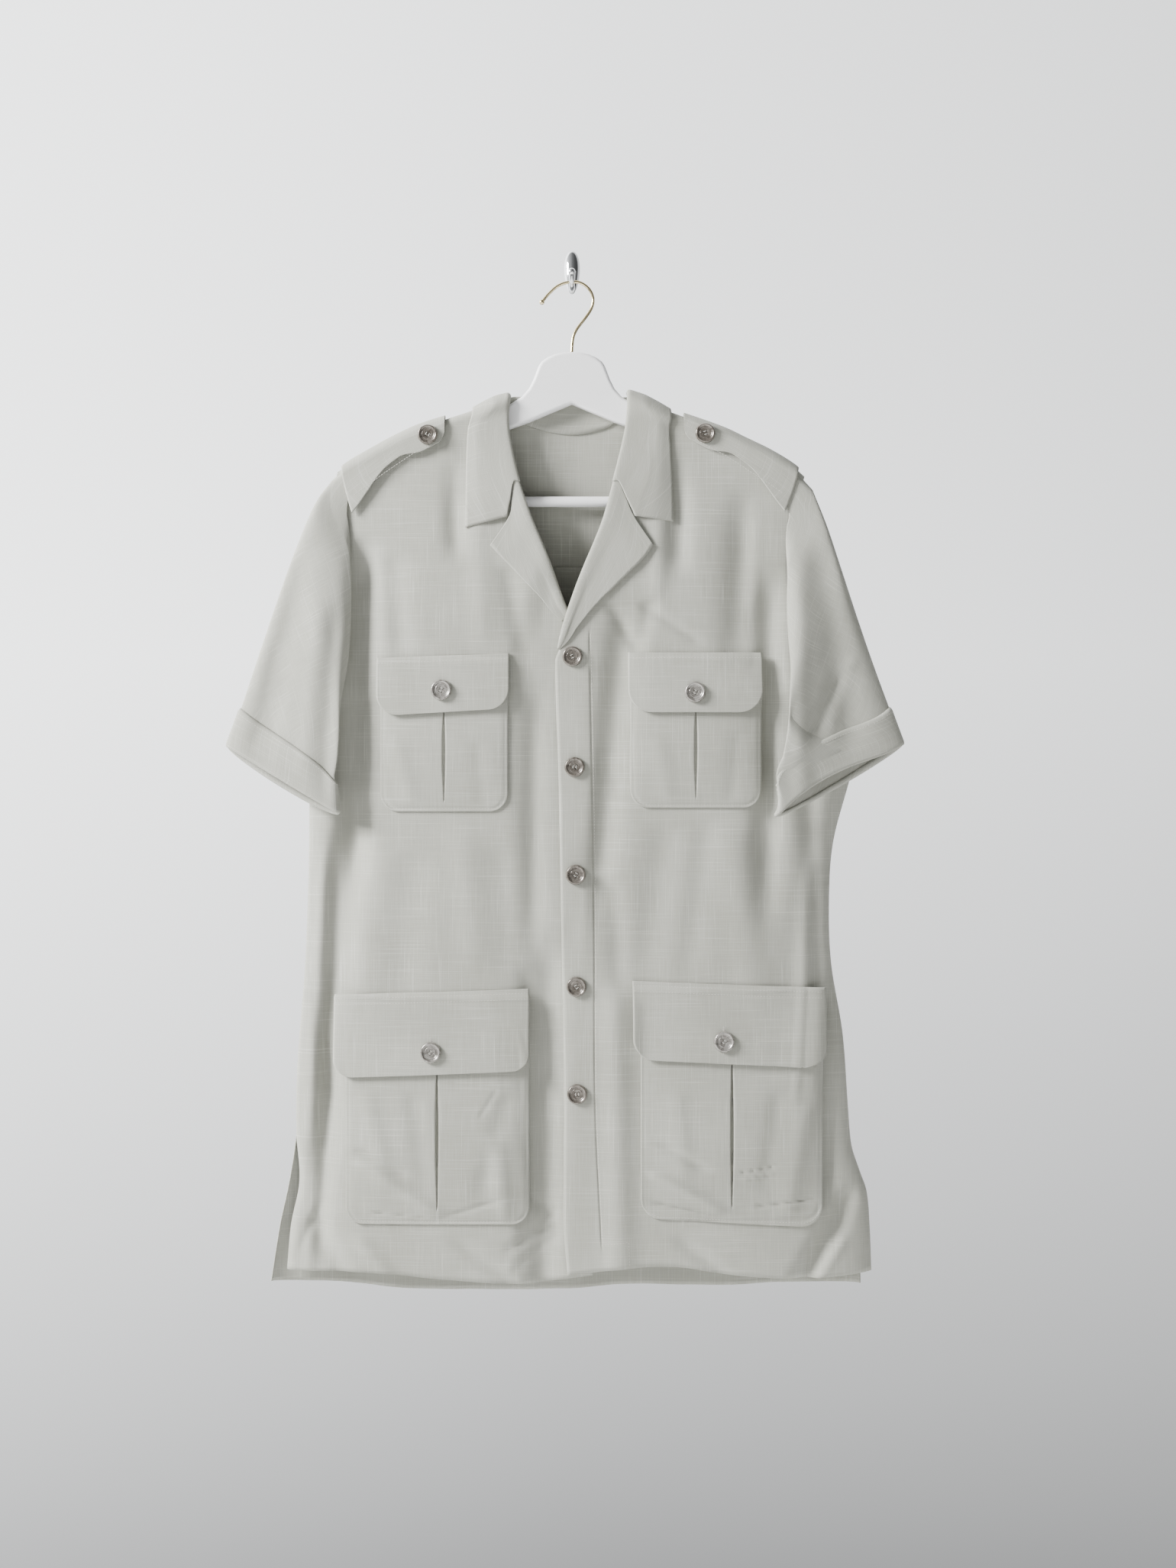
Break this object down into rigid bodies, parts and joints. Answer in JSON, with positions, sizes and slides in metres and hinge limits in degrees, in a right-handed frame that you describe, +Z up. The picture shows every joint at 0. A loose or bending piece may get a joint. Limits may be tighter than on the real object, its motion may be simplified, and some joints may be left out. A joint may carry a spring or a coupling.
{
  "type": "safari shirt on a hanger and wall hook",
  "caption": "Short-sleeved safari shirt with an open lapel collar, flapped patch pockets and shoulder straps, hanging buttoned on a wooden hanger from a small wall hook.",
  "frame": {"origin": "centre of the wall hook's flat back, where it meets the wall", "axes": "+Z up; the wall is the plane y = 0 and the shirt's front faces -Y; +X towards the wearer's left, the right of the picture"},
  "size_m": [0.6445, 0.0733, 1.006],
  "materials": {
    "cloth": "pale stone plain weave with uneven yarns, matt",
    "button": "smoky brown, glossy",
    "painted_wood": "white satin paint",
    "brass_wire": "polished",
    "chrome": "polished"
  },
  "bodies": {
    "root": {"front_left": "cloth", "front_right": "cloth", "back_yoke": "cloth", "back": "cloth", "sleeve_left": "cloth", "sleeve_right": "cloth", "cuff_left": "cloth", "cuff_right": "cloth", "lapel_left": "cloth", "lapel_right": "cloth", "collar": "cloth", "chest_pocket_left": "cloth", "chest_pocket_right": "cloth", "lower_pocket_left": "cloth", "lower_pocket_right": "cloth", "chest_flap_left": "cloth", "chest_flap_right": "cloth", "lower_flap_left": "cloth", "lower_flap_right": "cloth", "epaulette_left": "cloth", "epaulette_right": "cloth", "front_button_1": "button", "front_button_2": "button", "front_button_3": "button", "front_button_4": "button", "front_button_5": "button", "chest_button_left": "button", "chest_button_right": "button", "lower_button_left": "button", "lower_button_right": "button", "epaulette_button_left": "button", "epaulette_button_right": "button", "hanger_body": "painted_wood", "hanger_bar": "painted_wood", "hanger_hook": "brass_wire", "wall_hook": "chrome"}
  },
  "joints": []
}
